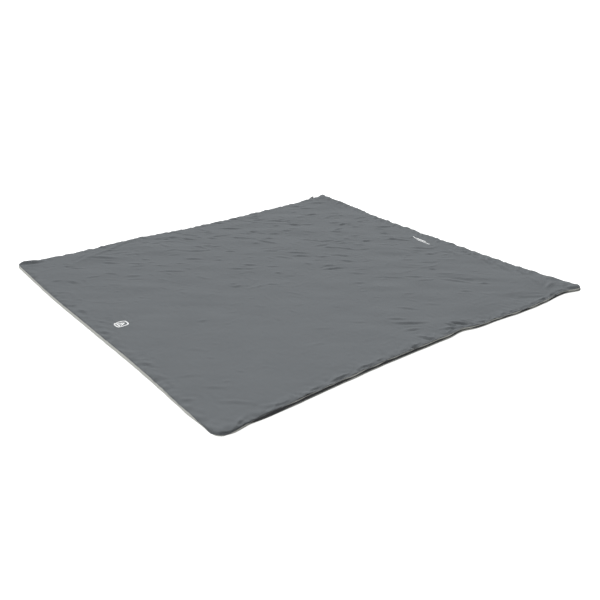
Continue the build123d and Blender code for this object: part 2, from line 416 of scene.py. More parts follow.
def cloth_material(name, dark, light, threads, crinkle_depth, roughness):
    """Woven cloth from a darker and a lighter shade of one colour."""
    material, tree, shader = new_material(name)
    weave = use(tree, PLAIN_WEAVE, {"Threads per metre": threads})
    crinkle = use(tree, CLOTH_CRINKLE)
    # The colour mixes the weave's painted shade between the threads with random blotchy tone.
    share = maths(tree, "ADD", maths(tree, "MULTIPLY", weave["Shade"], 0.5),
                  maths(tree, "MULTIPLY", crinkle["Shade"], 0.5))
    tree.links.new(blend_colours(tree, share, dark, light), shader.inputs["Base Color"])
    normal = relief(tree, crinkle["Height"], crinkle_depth)
    normal = relief(tree, weave["Height"], 0.06 * MM, 0.7, normal)
    tree.links.new(normal, shader.inputs["Normal"])
    rough = maths(tree, "MULTIPLY_ADD", crinkle["Shade"], 0.12)
    rough.node.inputs[2].default_value = roughness - 0.06
    tree.links.new(rough, shader.inputs["Roughness"])
    return material, shader


lining_cloth, lining_shader = cloth_material(
    "lining_cloth", (0.52, 0.53, 0.49), (0.69, 0.70, 0.66), 1900, 0.5 * MM, 0.86
)
lining_shader.inputs["Sheen Weight"].default_value = 0.25
lining_shader.inputs["Sheen Roughness"].default_value = 0.6
lining.data.materials.append(lining_cloth)

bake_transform(lining)
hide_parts("lining_left", "lining_right")

# ---- Wadding ------------------------------------------------------------------------------------
# The warm filling: a batt of soft white polyester fibre, a little smaller than the two cloths and
# caught only at their edge seam, so that its soft lumps show through the shell.

WADDING_INSET = 11 * MM
WADDING_CELL = 24 * MM
WADDING_ROLL = 12 * MM
WADDING_UNDER_SHELL = 2.2 * MM
WADDING_LOWEST = 4.6 * MM
EDGE_LOFT = 23.4 * MM  # the quilt's height beside its rolled edge
CROWN = 0.9 * MM  # how much higher it stands in the middle
THIN_LOSS = 4.5 * MM  # how much lower it lies where it runs thin


def puffed_top(x, y, inward):
    """The height of the quilt's top face before any crease is in it."""
    lumps = 1.0 * waves(x, y, 0.24, 11, 1.6, math.radians(48))
    lumps = lumps + 0.6 * waves(x, y, 0.11, 12, 2.0, 0.9)
    quiet = 1 - 0.7 * rising(x, -0.1, 0.5) * rising(-y, -0.2, 0.3)
    crown = EDGE_LOFT + CROWN * (1 - np.exp(-inward / 0.09))
    lumps = lumps * quiet * MM * rising(inward, 0.01, 0.09)
    return crown + lumps - THIN_LOSS * flattened(x, y) * (1 - rising(inward, 0, 0.16))


def wadding_surfaces(a, b):
    """The wadding's top and underside over pattern points, which meet round its edge."""
    flat_x, flat_y, inward = laid_out(a, b)[:3]
    inward = inward - WADDING_INSET
    share = np.clip(inward / WADDING_ROLL, 0, 1)
    rise = np.sqrt(1 - (1 - share) ** 2)
    x, y = pulled(flat_x, flat_y, seam_pull)
    top = puffed_top(a, b, inward) - WADDING_UNDER_SHELL
    middle = 0.5 * top
    lift = tip_lift(x, y)
    under = middle - (middle - WADDING_LOWEST) * rise + 0.4 * lift
    return x, y, middle + (top - middle) * rise + lift, under


wadding_a = pattern_rows(HALF_WIDTH - WADDING_INSET, WADDING_CELL, WADDING_ROLL, FOLD_LINES)
wadding_b = pattern_rows(HALF_LENGTH - WADDING_INSET, WADDING_CELL, WADDING_ROLL)
wadding_a, wadding_b = np.meshgrid(wadding_a, wadding_b, indexing="ij")
batt_x, batt_y, batt_top, batt_bottom = wadding_surfaces(wadding_a, wadding_b)
wadding = cloth_mesh("wadding", batt_x, batt_y, batt_top)
wadding_under = cloth_mesh("wadding_under", batt_x, batt_y, batt_bottom, face_down=True)
with bpy.context.temp_override(
    active_object=wadding, selected_editable_objects=[wadding, wadding_under]
):
    bpy.ops.object.join()

wadding_fibre, tree, shader = new_material("wadding_fibre")
fibre_place = add(tree, "ShaderNodeTexCoord").outputs["Object"]
fibre = add(tree, "ShaderNodeTexNoise", {
    "Vector": fibre_place, "Scale": 700.0, "Detail": 5.0, "Roughness": 0.7, "Distortion": 2.5,
}).outputs[0]
fibre_colour = blend_colours(tree, fibre, (0.74, 0.74, 0.72), (0.93, 0.93, 0.92))
tree.links.new(fibre_colour, shader.inputs["Base Color"])
tree.links.new(relief(tree, fibre, 0.6 * MM), shader.inputs["Normal"])
shader.inputs["Roughness"].default_value = 0.95
shader.inputs["Sheen Weight"].default_value = 0.5
wadding.data.materials.append(wadding_fibre)

# ---- Shell --------------------------------------------------------------------------------------
# The grey upper cloth: one piece of plain-woven polyester with a little slack in it. Its edge
# rolls over and under to the seam, and it lies on the wadding in the creases it was packed in.

HEAD_PUFF, ZIP_PUFF = 3 * MM, 7 * MM  # how far the rolled edge swells out past the seam
RIGHT_PUFF_LOSS, RIGHT_ROLL_LOSS = 3 * MM, 0.45  # the right side's edge is the sharper one
NEAR_RIGHT_PUFF, TUCKED_PUFF = 2.5 * MM, 5 * MM  # more of it by the near right corner
GAPE_DEPTH = 10 * MM  # of the hollow over the seam at that corner
CREASE_HEADING = 50  # degrees from X: the way most creases run
CREASE_DEPTH = 1.45  # how far the creases of the cloth stand, all together
CREASE_CROWD = 4.2 * MM  # where creases cross, they do not add up beyond this
CREASE_LIMIT = 31 * MM  # no crease stands higher than this
CREASE_EASE = 4 * MM  # over which the tallest are flattened down
SETTLE_FRAMES = 26
SPARE_CLOTH = 0.0045  # how much longer the cloth is cut than it lies, for each metre to the far left
SETTLED_CREASE = 1.9  # the settling presses creases out, so they are set deeper than they stand
SETTLE_CAP = 4.5 * MM  # the furthest a point of the cloth may move while it settles


def crease(x, y, at_x, at_y, heading, length, width, height, bend=0.0):
    """One soft-ended crease in the cloth, with the shallow hollow that runs beside it."""
    c, s = math.cos(math.radians(heading)), math.sin(math.radians(heading))
    reach = 0.5 * length + 4 * width
    near = np.nonzero((np.abs(x - at_x) < reach) & (np.abs(y - at_y) < reach))
    along = (x[near] - at_x) * c + (y[near] - at_y) * s
    across = (y[near] - at_y) * c - (x[near] - at_x) * s - bend * along**2
    fade = np.cos(np.clip(along / length, -0.5, 0.5) * math.pi) ** 2
    t = across / width
    lift = np.zeros_like(x)
    lift[near] = height * fade * (np.exp(-t * t) - 0.5 * np.exp(-((t + 1.9) ** 2) / 1.6))
    return lift


# Creases that stand out: middle, heading in degrees, length, then width and height in mm, bend.
MAIN_CREASES = [
    # the loose ridge beside the near left edge and the rim of its corner
    (-0.885, -0.59, -70, 0.70, 14, 3.2, 0.10),
    (-0.958, -0.965, 72, 0.18, 15, 5.0, 0.0),
    (-0.80, -0.63, 47, 0.22, 10, 2.0, 0.0),
    (-0.57, -0.89, 23, 0.11, 9, 1.7, 0.0),
    (-0.56, -0.70, 43, 0.10, 8, 1.4, 0.0),
    (-0.79, -0.83, 60, 0.11, 8, 1.4, 0.0),
    (-0.57, -0.54, 65, 0.13, 9, 1.3, 0.0),
    (-0.76, -0.28, 12, 0.11, 9, 1.8, 0.0),
    (-0.40, -0.44, 52, 0.20, 9, 1.8, 0.0),
    (-0.32, -0.53, 32, 0.08, 8, 1.5, 0.0),
    # the left side and the far left quarter
    (-0.88, -0.20, 62, 0.22, 12, 1.8, 0.4),
    (-0.47, 0.21, 22, 0.28, 11, 2.0, 0.9),
    (-0.80, 0.18, 48, 0.22, 11, 1.8, 0.0),
    (-0.60, 0.14, 38, 0.20, 9, 1.7, 0.0),
    (-0.70, 0.44, 52, 0.22, 12, 1.8, 0.0),
    (-0.35, 0.42, 35, 0.16, 9, 1.6, 0.0),
    (-0.72, 0.72, 50, 0.18, 11, 2.0, 0.5),
    (-0.49, 0.74, 48, 0.14, 10, 2.0, 0.0),
    (-0.36, 0.64, 46, 0.14, 10, 1.8, 0.0),
    (-0.87, 0.91, 49, 0.16, 12, 1.8, 0.0),
    (-0.28, 0.72, 46, 0.40, 30, 2.6, 0.0),
    (-0.62, 0.33, 50, 0.42, 28, 2.6, 0.3),
    (-0.66, -0.32, 48, 0.40, 30, 2.0, 0.0),
    # the middle
    (-0.20, -0.12, 58, 0.24, 9, 1.6, 0.6),
    (0.04, -0.19, 82, 0.18, 10, 1.2, 0.0),
    (-0.22, 0.24, 44, 0.20, 10, 1.8, 0.5),
    (-0.05, 0.40, 40, 0.18, 10, 1.7, -0.6),
    (0.20, 0.30, 46, 0.16, 10, 1.4, 0.0),
    (-0.06, 0.86, 41, 0.18, 9, 1.5, 0.0),
    (0.145, 0.84, 42, 0.24, 10, 1.8, 0.0),
    # the far right quarter and the puckers in from the foot edge
    (0.42, 0.50, 48, 0.17, 9, 1.6, 0.0),
    (0.58, 0.63, 33, 0.22, 11, 1.9, -0.5),
    (0.69, 0.71, 52, 0.10, 9, 1.8, 0.0),
    (0.70, 0.565, 52, 0.09, 8, 1.3, 0.0),
    (0.30, 0.92, -22, 0.14, 8, 3.2, 0.0),
    (0.40, 0.97, -20, 0.12, 7, 2.6, 0.0),
    (0.50, 0.96, -18, 0.13, 8, 3.2, 0.0),
    (0.62, 0.955, -24, 0.17, 8, 3.6, 0.0),
    (0.72, 0.97, -20, 0.13, 7, 3.0, 0.0),
    (0.80, 0.93, -26, 0.15, 8, 3.2, 0.0),
    (0.89, 0.93, -68, 0.12, 8, 2.4, 0.0),
    (0.60, 0.73, 40, 0.52, 30, 3.4, 0.3),
    (0.84, 0.72, 62, 0.30, 26, 2.8, 0.0),
    (0.42, 0.28, 50, 0.40, 30, 1.8, 0.0),
    (0.10, 0.66, 47, 0.36, 26, 2.4, 0.4),
    (0.96, 1.00, 75, 0.10, 8, 2.6, 0.0),
    # the folds that run together at the pinch in the right edge
    (0.79, 0.10, 52, 0.22, 8, 2.2, 0.9),
    (0.72, 0.08, 48, 0.12, 8, 1.6, 0.0),
    (0.84, 0.06, 65, 0.11, 7, 2.0, 0.0),
    (0.935, 0.05, 27, 0.13, 7, 2.4, 0.0),
    (0.94, 0.20, 62, 0.08, 6, 3.0, 0.0),
    (0.925, 0.275, 52, 0.13, 7, 2.8, 0.0),
    (0.935, 0.315, 14, 0.11, 7, 2.6, 0.0),
    (0.92, 0.23, 20, 0.10, 6, 2.4, 0.0),
    (0.67, 0.20, 38, 0.15, 9, 1.3, 0.0),
]


def creased(x, y):
    """The height of all the creases: the main ones and many slight ones, most on the left."""
    total = np.zeros_like(x)
    for at_x, at_y, heading, length, width, height, bend in MAIN_CREASES:
        total += crease(x, y, at_x, at_y, heading, length, width * MM, height * MM, bend)
    random = np.random.default_rng(7)
    for _ in range(420):
        at_x, at_y = random.uniform(-0.94, 0.94), random.uniform(-1.0, 1.0)
        heading = CREASE_HEADING + random.normal(0, 17)
        length, width = random.uniform(0.05, 0.19), random.uniform(5, 12) * MM
        height, bend = random.uniform(0.5, 2.0) * MM, random.normal(0, 2.2)
        slack = rising(0.55 - at_x + 0.75 * at_y, 0, 1) * rising(at_y, -1.15, -0.65)
        slack = 0.18 + 0.82 * slack
        if random.uniform() < slack:
            total += crease(x, y, at_x, at_y, heading, length, width, height * (0.4 + 0.6 * slack), bend)
    for _ in range(800):
        at_x, at_y = random.uniform(-0.96, 0.96), random.uniform(-1.0, 1.02)
        heading, length = CREASE_HEADING + random.normal(0, 32), random.uniform(0.025, 0.09)
        height, width = random.uniform(0.2, 0.75) * MM, random.uniform(4.5, 7) * MM
        slack = rising(0.7 - at_x + 0.9 * at_y, 0, 1) * rising(at_y, -1.15, -0.65)
        slack = 0.25 + 0.75 * slack
        if random.uniform() < slack:
            total += crease(x, y, at_x, at_y, heading, length, width, height)
    for _ in range(70):
        at_x = random.uniform(-0.95, 0.95)
        length, height = random.uniform(0.05, 0.13), random.uniform(0.7, 1.9) * MM
        total += crease(x, y, at_x, 1.0, random.uniform(-75, -25), length, 6 * MM, height)
    for _ in range(36):
        at_y = random.uniform(-0.9, 0.98)
        length, height = random.uniform(0.05, 0.14), random.uniform(0.4, 1.2) * MM
        total += crease(x, y, -0.945, at_y, random.uniform(25, 75), length, 6 * MM, height)
    for _ in range(56):
        at_y = random.uniform(-0.95, 0.95)
        length, height = random.uniform(0.05, 0.15), random.uniform(0.4, 1.3) * MM
        total += crease(x, y, 0.955, at_y, random.uniform(78, 128), length, 5.5 * MM, height)
    for _ in range(30):
        at_x = random.uniform(-0.5, 0.75)
        length, height = random.uniform(0.05, 0.11), random.uniform(0.3, 0.8) * MM
        total += crease(x, y, at_x, -0.99, random.uniform(15, 65), length, 6 * MM, height)
    return CREASE_CROWD * np.tanh(CREASE_DEPTH * total / CREASE_CROWD)


def shell_surface(a, b, settled=None):
    """The shell over pattern points; settled is how far the cloth moved as it came to rest."""
    flat_x, flat_y, inward, out_x, out_y = laid_out(a, b)
    on_zip = zipped(b)
    right_side = rising(a, 0.85, 0.93) * on_zip
    seam = seam_height(a, b)
    share = np.clip(inward / (SHELL_ROLL * (1 - RIGHT_ROLL_LOSS * right_side)), 0, 1)
    rise = np.sqrt(1 - (1 - share) ** 2)
    puff = HEAD_PUFF + (ZIP_PUFF - HEAD_PUFF) * on_zip - RIGHT_PUFF_LOSS * right_side
    puff = puff + NEAR_RIGHT_PUFF * rising(a, 0.4, 0.8) * (1 - on_zip) + TUCKED_PUFF * tucked(a, b)
    puff = puff * (1 + 0.16 * waves(a, b, 0.10, 21) + 0.12 * waves(a, b, 0.035, 22))
    bulge = puff * 2 * rise * (1 - share)
    bulge = bulge - GAPE_DEPTH * hump(b, -0.96, 0.11) * rising(a, 0.84, 0.94) * hump(share, 0.2, 0.11)
    ripple = (0.9 * waves(a, b, 0.09, 23) + 0.8 * waves(a, b, 0.035, 24)) * MM
    seam = seam + ripple * on_zip * (1 - rise)
    x, y = pulled(flat_x, flat_y, seam_pull)
    x, y = x + out_x * bulge, y + out_y * bulge
    creases = creased(a, b) * rising(inward, 0, 14 * MM) + ripple * np.exp(-inward / 0.03)
    top = puffed_top(a, b, inward)
    if settled is None:
        z = seam + (top + creases - seam) * rise
    else:
        z = seam + (top + SETTLED_CREASE * creases - seam) * rise + settled[2]
        x, y = x + settled[0], y + settled[1]
    over = np.maximum(z - CREASE_LIMIT + CREASE_EASE, 0)
    z = np.minimum(z, CREASE_LIMIT - CREASE_EASE) + CREASE_EASE * np.tanh(over / CREASE_EASE)
    return x, y, z + tip_lift(x, y) * (SEAM_LIFT + (1 - SEAM_LIFT) * rise)


def between_lines(values):
    """Values on the coarse pattern grid, carried smoothly onto the grid with halved lines."""
    for axis in (0, 1):
        values = np.moveaxis(values, axis, 0)
        padded = np.concatenate([values[:1], values, values[-1:]])
        midway = (9 * (padded[1:-2] + padded[2:-1]) - padded[:-3] - padded[3:]) / 16
        joined = np.empty((2 * len(values) - 1, *values.shape[1:]))
        joined[::2], joined[1::2] = values, midway
        values = np.moveaxis(joined, 0, axis)
    return values


def settle_shell():
    """Drops the slack shell onto the wadding as cloth, and gives how far each point moved."""
    a, b = np.meshgrid(coarse_a, coarse_b, indexing="ij")
    x, y, z = shell_surface(a, b)
    inward = laid_out(a, b)[2]
    loose = cloth_mesh("loose_shell", x, y, z)
    across = math.radians(CREASE_HEADING + 90)
    across_x, across_y = math.cos(across), math.sin(across)
    toward = np.maximum(a * across_x + b * across_y + 0.55, 0)
    spare = 0.5 * SPARE_CLOTH * toward**2
    middle = spare.mean()
    cut = np.stack([x + across_x * (spare - middle), y + across_y * (spare - middle), z], -1)
    loose.shape_key_add(name="laid")
    cut_key = loose.shape_key_add(name="cut")
    cut_key.data.foreach_set("co", cut.reshape(-1))
    sewn = loose.vertex_groups.new(name="sewn")
    hold = 1 - rising(inward, 20 * MM, 50 * MM)
    for vertex, weight in enumerate(hold.reshape(-1)):
        if weight > 0:
            sewn.add([vertex], float(weight), "REPLACE")
    wadding.modifiers.new("firm", "COLLISION")
    wadding.collision.thickness_outer = 1.0 * MM
    wadding.collision.cloth_friction = 12
    cloth = loose.modifiers.new("cloth", "CLOTH")
    cloth.settings.quality = 6
    cloth.settings.mass = 0.12
    cloth.settings.tension_stiffness = 18
    cloth.settings.compression_stiffness = 18
    cloth.settings.shear_stiffness = 6
    cloth.settings.bending_stiffness = 0.08
    cloth.settings.air_damping = 2.5
    cloth.settings.vertex_group_mass = "sewn"
    cloth.settings.rest_shape_key = cut_key
    cloth.collision_settings.distance_min = 0.8 * MM
    cloth.collision_settings.use_self_collision = False
    cloth.point_cache.frame_start, cloth.point_cache.frame_end = 1, SETTLE_FRAMES
    for moment in range(1, SETTLE_FRAMES + 1):
        bpy.context.scene.frame_set(moment)
    at_rest = loose.evaluated_get(bpy.context.evaluated_depsgraph_get()).to_mesh()
    came_to = np.empty(len(at_rest.vertices) * 3)
    at_rest.vertices.foreach_get("co", came_to)
    moved = came_to.reshape(*x.shape, 3) - np.stack([x, y, z], -1)
    far = np.linalg.norm(moved, axis=-1, keepdims=True)
    moved = moved * np.minimum(1, SETTLE_CAP / np.maximum(far, 1e-9))
    bpy.context.scene.frame_set(1)
    wadding.modifiers.clear()
    bpy.data.objects.remove(loose)
    return np.moveaxis(between_lines(moved), -1, 0)


settled = settle_shell()
shell = cloth_mesh("shell", *shell_surface(fine_a, fine_b, settled))

shell_cloth, shell_shader = cloth_material(
    "shell_cloth", (0.141, 0.152, 0.161), (0.183, 0.197, 0.207), 2600, 0.9 * MM, 0.85
)
shell_shader.inputs["Specular IOR Level"].default_value = 0.03
shell.data.materials.append(shell_cloth)

# The batt gives way wherever a hollow of the shell presses on it.
WADDING_GAP = 1.0 * MM
lowest = np.array([vertex.co.z for vertex in shell.data.vertices]).reshape(fine_a.shape)
for axis in (0, 1, 0, 1):
    lowest = np.minimum(lowest, np.minimum(np.roll(lowest, 1, axis), np.roll(lowest, -1, axis)))
nearest_a = np.abs(fine_a[:, :1] - wadding_a[:, 0]).argmin(0)
nearest_b = np.abs(fine_b[:1].T - wadding_b[0]).argmin(0)
pressed = np.minimum(batt_top, lowest[np.ix_(nearest_a, nearest_b)] - WADDING_GAP)
for vertex, height in zip(wadding.data.vertices, pressed.reshape(-1)):
    vertex.co.z = height

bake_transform(wadding)
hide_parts("wadding_left", "wadding_right")

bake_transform(shell)
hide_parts("shell_left", "shell_right")

# ---- Prints -------------------------------------------------------------------------------------
# Two plain white signs screen-printed on the shell: a small framed tent near the head edge and
# two bars near the foot edge. The ink is a thin skin that follows every thread and crease.

INK_ABOVE = 0.2 * MM
PRINT_STEP = 2.5 * MM
shell_tree = BVHTree.FromObject(shell, bpy.context.evaluated_depsgraph_get())


def stroke(points, width, closed=False):
    """A band of the given width along a line: its two edges as arrays of points."""
    points = np.array(points + points[:1] if closed else points, float)
    steps = np.linalg.norm(np.diff(points, axis=0), axis=1)
    run = np.concatenate([[0], np.cumsum(steps)])
    at = np.linspace(0, run[-1], max(2, round(run[-1] / PRINT_STEP) + 1))
    line = np.stack([np.interp(at, run, points[:, k]) for k in (0, 1)], -1)
    ahead = np.roll(line, -1, 0) - np.roll(line, 1, 0)
    if closed:
        ahead[[0, -1]] = line[1] - line[-2]
    else:
        ahead[0], ahead[-1] = line[1] - line[0], line[-1] - line[-2]
    ahead = ahead / np.linalg.norm(ahead, axis=1, keepdims=True)
    side = np.stack([-ahead[:, 1], ahead[:, 0]], -1) * width / 2
    return line - side, line, line + side


def printed(name, bands, middle):
    """White ink bands laid onto the shell round the middle of the sign."""
    vertices, faces = [], []
    for edges in bands:
        first = len(vertices)
        count = len(edges[0])
        for edge in edges:
            for point in edge:
                x, y = point[0] + middle[0], point[1] + middle[1]
                place, normal = shell_tree.ray_cast(Vector((x, y, 0.1)), Vector((0, 0, -1)))[:2]
                vertices.append(place + normal * INK_ABOVE)
        for strip in range(len(edges) - 1):
            for i in range(count - 1):
                low = first + strip * count + i
                faces.append((low, low + 1, low + 1 + count, low + count))
    mesh = bpy.data.meshes.new(name)
    mesh.from_pydata(vertices, [], faces)
    mesh.polygons.foreach_set("use_smooth", np.ones(len(faces), bool))
    made = bpy.data.objects.new(name, mesh)
    bpy.context.scene.collection.objects.link(made)
    made.data.materials.append(print_ink)
    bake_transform(made)


print_ink, tree, shader = new_material("print_ink")
ink_weave = use(tree, PLAIN_WEAVE, {"Threads per metre": 2600.0, "Slub": 0.5})
# The ink is darker between the threads: painted shade, plus slub tone.
tree.links.new(
    blend_colours(tree, ink_weave["Shade"], (0.80, 0.81, 0.81), (0.95, 0.96, 0.96)),
    shader.inputs["Base Color"],
)
tree.links.new(relief(tree, ink_weave["Height"], 0.04 * MM), shader.inputs["Normal"])
shader.inputs["Roughness"].default_value = 0.6

BADGE_MIDDLE = (0.018, -0.918)
BADGE_HALF = (24 * MM, 27 * MM)
turns = np.linspace(0, math.tau, 40, endpoint=False)
badge_frame = [
    (BADGE_HALF[0] * np.sign(c) * abs(c) ** 0.55, BADGE_HALF[1] * np.sign(s) * abs(s) ** 0.55)
    for c, s in zip(np.cos(turns), np.sin(turns))
]
tent = [(-15 * MM, -9 * MM), (0, 15 * MM), (15 * MM, -9 * MM)]
printed(
    "tent_badge",
    [
        stroke(badge_frame, 5.6 * MM, closed=True),
        stroke(tent, 6.0 * MM),
        stroke([(-17 * MM, -15 * MM), (17 * MM, -15 * MM)], 6.0 * MM),
        stroke([(0, -9 * MM), (0, 4 * MM)], 5.0 * MM),
    ],
    BADGE_MIDDLE,
)
printed(
    "foot_bars",
    [
        stroke([(-70 * MM, 5 * MM), (28 * MM, 5 * MM)], 6 * MM),
        stroke([(-28 * MM, -7 * MM), (70 * MM, -7 * MM)], 5 * MM),
    ],
    (0.06, 0.921),
)

# ---- Zip tapes ----------------------------------------------------------------------------------
# Two woven polyester tapes, one for each half, caught in the seam between shell and lining. Each
# runs from near the head down its side, round the foot corner and in to the fold.

ZIP_CORNER = 35 * MM
ZIP_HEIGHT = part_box("top_stop_left")[0].z / 2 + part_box("top_stop_left")[1].z / 2
TAPE_INNER, TAPE_OUTER = -7 * MM, 8.6 * MM  # from the cut line
SLIDER_PAST_COIL = 8.2 * MM
COIL_LINE = -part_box("side_slider_body")[0].x - SLIDER_PAST_COIL - HALF_WIDTH
TAPE_THICKNESS = 0.8 * MM
# Across the tape from its sewn edge: share of its width, and height from 1 (seam) to 0 (coil).
TAPE_PROFILE = [(0.0, 1.0), (0.45, 1.0), (0.52, 0.75), (0.60, 0.25), (0.70, 0.0), (1.0, 0.0)]
TAPE_FOLD_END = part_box("zip_tape_right")[0].x
THIN_ZIP_DROP = 2 * MM  # how much lower the zip lies where the quilt runs thin

# The coil is stiffer than the cloth, so it follows the pulled seam only in part.
zip_pull = {
    "left": curve_through([
        (-1.0, 0), (-0.88, 0), (-0.335, 3), (0.015, -18), (0.3, -19), (0.615, -8), (0.84, 0),
        (0.98, 0), (1.04, -3),
    ]),
    "right": curve_through([
        (-0.965, 2), (-0.945, 5), (-0.9, 17), (-0.7, 15), (-0.5, 4), (-0.3, -5), (0.05, -9), (0.16, -11),
        (0.25, -19), (0.31, -3), (0.45, 5), (0.615, 18), (0.8, 17), (0.93, 10), (1.04, 38),
    ]),
    "foot": curve_through([
        (-1.0, 52), (-0.972, 33), (-0.948, 4), (-0.92, 0), (-0.9, 0), (-0.86, 0), (-0.82, 7),
        (-0.77, 14), (-0.4, -3), (-0.12, 0), (0.07, 0), (0.5, -2), (0.8, 14), (0.99, 33),
    ]),
    "head": curve_through([(-1, 0), (1, 0)]),
}


def zip_line(side, out, step, pull, start=ZIP_TOP, end=TAPE_FOLD_END):
    """Points along one half's zip, out metres outside the cut line, and its way out at each."""
    down = HALF_LENGTH - ZIP_CORNER - start
    turn = ZIP_CORNER * math.pi / 2
    across = HALF_WIDTH - ZIP_CORNER - end
    total = down + turn + across
    run = np.linspace(0, total, round(total / step) + 1)
    angle = np.clip((run - down) / ZIP_CORNER, 0, math.pi / 2)
    corner = HALF_WIDTH - ZIP_CORNER - np.maximum(run - down - turn, 0)
    x = side * (corner + (ZIP_CORNER + out) * np.cos(angle))
    y = start + np.minimum(run, down) + (ZIP_CORNER + out) * np.sin(angle)
    x, y = pulled(x, y, pull)
    ahead = np.gradient(np.stack([x, y], -1), axis=0)
    ahead = ahead / np.linalg.norm(ahead, axis=1, keepdims=True)
    z = ZIP_HEIGHT - THIN_ZIP_DROP * flattened(x, y)
    return x, y, z, side * ahead[:, 1], -side * ahead[:, 0]


def swept(name, rings, material):
    """A closed tube through rings of points, all with the same count, capped at both ends."""
    count, around = rings.shape[:2]
    index = np.arange(count * around).reshape(count, around)
    wrapped = np.roll(index, -1, axis=1)
    faces = np.stack([index[:-1], wrapped[:-1], wrapped[1:], index[1:]], -1).reshape(-1, 4).tolist()
    faces += [index[0][::-1].tolist(), index[-1].tolist()]
    mesh = bpy.data.meshes.new(name)
    mesh.from_pydata(rings.reshape(-1, 3).tolist(), [], faces)
    made = bpy.data.objects.new(name, mesh)
    bpy.context.scene.collection.objects.link(made)
    made.data.materials.append(material)
    return made


def ribbed_tape():
    material, tree, shader = new_material("zip_tape_cloth")
    weave = use(tree, PLAIN_WEAVE, {"Threads per metre": 1500.0, "Slub": 0.4})
    # The tape is darker between its threads: painted shade, plus slub tone.
    colour = blend_colours(tree, weave["Shade"], (0.044, 0.047, 0.050), (0.088, 0.093, 0.098))
    tree.links.new(colour, shader.inputs["Base Color"])
    tree.links.new(relief(tree, weave["Height"], 0.12 * MM), shader.inputs["Normal"])
    shader.inputs["Roughness"].default_value = 0.82
    shader.inputs["Sheen Weight"].default_value = 0.2
    return material


tape_cloth = ribbed_tape()
SIDES = {"left": -1, "right": 1}
for half, side in SIDES.items():
    inner = zip_line(side, TAPE_INNER, 6 * MM, seam_pull)
    outer = zip_line(side, TAPE_OUTER, 6 * MM, zip_pull)
    flutter = 0.35 * MM * waves(outer[0], outer[1], 0.05, 41)
    sewn_height = seam_height(inner[0], inner[1]) - SEAM_GAP / 2
    sewn_height = sewn_height + SEAM_LIFT * tip_lift(inner[0], inner[1])
    rings = []
    for share, height in TAPE_PROFILE:
        x, y = (inner[k] + (outer[k] - inner[k]) * share for k in range(2))
        z = outer[2] + (sewn_height - outer[2]) * height + flutter * math.sin(math.pi * share)
        rings.append(np.stack([x, y, z], -1))
    up = np.array([0, 0, TAPE_THICKNESS / 2])
    ring = np.stack([line + up for line in rings] + [line - up for line in rings[::-1]], 1)
    tape = swept(f"zip_tape_{half}_woven", ring if side < 0 else ring[:, ::-1], tape_cloth)
    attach(tape, f"{half}_half")
    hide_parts(f"zip_tape_{half}")

# ---- Zip coils ----------------------------------------------------------------------------------
# Each tape's outer edge carries half of the zip: one nylon filament wound in a flat coil that is
# sewn down turn by turn, so that its turns mesh with the other half's when the sliders close it.

COIL_PITCH = 1.6 * MM
COIL_HALF_WIDTH, COIL_HALF_HEIGHT = 1.1 * MM, 0.8 * MM
FILAMENT_RADIUS = 0.38 * MM
POINTS_PER_TURN = 8
COIL_START = ZIP_TOP + 7 * MM
COIL_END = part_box("insertion_pin")[1].x + 1 * MM

coil_nylon, tree, shader = new_material("coil_nylon")
nylon_place = add(tree, "ShaderNodeTexCoord").outputs["Object"]
nylon = add(tree, "ShaderNodeTexNoise", {
    "Vector": nylon_place, "Scale": 420.0, "Detail": 3.0,
}).outputs[0]
nylon_colour = blend_colours(tree, nylon, (0.055, 0.058, 0.062), (0.115, 0.120, 0.126))
tree.links.new(nylon_colour, shader.inputs["Base Color"])
rough = maths(tree, "MULTIPLY_ADD", nylon, 0.25)
rough.node.inputs[2].default_value = 0.28
tree.links.new(rough, shader.inputs["Roughness"])
tree.links.new(relief(tree, nylon, 0.05 * MM), shader.inputs["Normal"])
for half, side in SIDES.items():
    step = COIL_PITCH / POINTS_PER_TURN
    x, y, z, out_x, out_y = zip_line(side, COIL_LINE, step, zip_pull, COIL_START, COIL_END)
    turn = np.arange(len(x)) * math.tau / POINTS_PER_TURN
    wide = np.cos(turn) * COIL_HALF_WIDTH
    centre = np.stack([x + out_x * wide, y + out_y * wide, z + np.sin(turn) * COIL_HALF_HEIGHT], -1)
    ahead = np.gradient(centre, axis=0)
    ahead = ahead / np.linalg.norm(ahead, axis=1, keepdims=True)
    spoke = np.stack([out_x * np.cos(turn), out_y * np.cos(turn), np.sin(turn)], -1)
    spoke = spoke - ahead * (spoke * ahead).sum(1, keepdims=True)
    spoke = spoke / np.linalg.norm(spoke, axis=1, keepdims=True)
    across = np.cross(ahead, spoke)
    corners = [spoke, across, -spoke, -across]
    ring = np.stack([centre + corner * FILAMENT_RADIUS for corner in corners], 1)
    coil = swept(f"zip_coil_{half}_wound", ring, coil_nylon)
    coil.data.polygons.foreach_set("use_smooth", np.ones(len(coil.data.polygons), bool))
    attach(coil, f"{half}_half")
    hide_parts(f"zip_coil_{half}")

# ---- Stitching ----------------------------------------------------------------------------------
# One row of polyester lockstitch all round the shell's rolled edge, grey like the cloth, and one
# along the lining's wall: they hold shell, lining and tape together.

STITCH_PITCH = 4.2 * MM
STITCH_LENGTH = 3.3 * MM
THREAD_RADIUS = 0.32 * MM
THREAD_SIDES = 5
# One stitch from end to end: share of its length, and thickness against the thread's.
STITCH_SHAPE = [(0.0, 0.35), (0.22, 1.0), (0.78, 1.0), (1.0, 0.35)]
SHELL_ROW, LINING_ROW = 6.5 * MM, 0.9 * MM  # how far each row runs from the cut edge


def pattern_outline(inward, pitch):
    """Pattern points all round, that far in from the edge, pitch apart."""
    half_a, half_b = HALF_WIDTH - inward, HALF_LENGTH - inward
    corners = [(-half_a, -half_b), (half_a, -half_b), (half_a, half_b), (-half_a, half_b)]
    sides = []
    for here, there in zip(corners, corners[1:] + corners[:1]):
        count = round(math.dist(here, there) / pitch)
        sides.append(np.linspace(here, there, count, endpoint=False))
    return np.concatenate(sides)


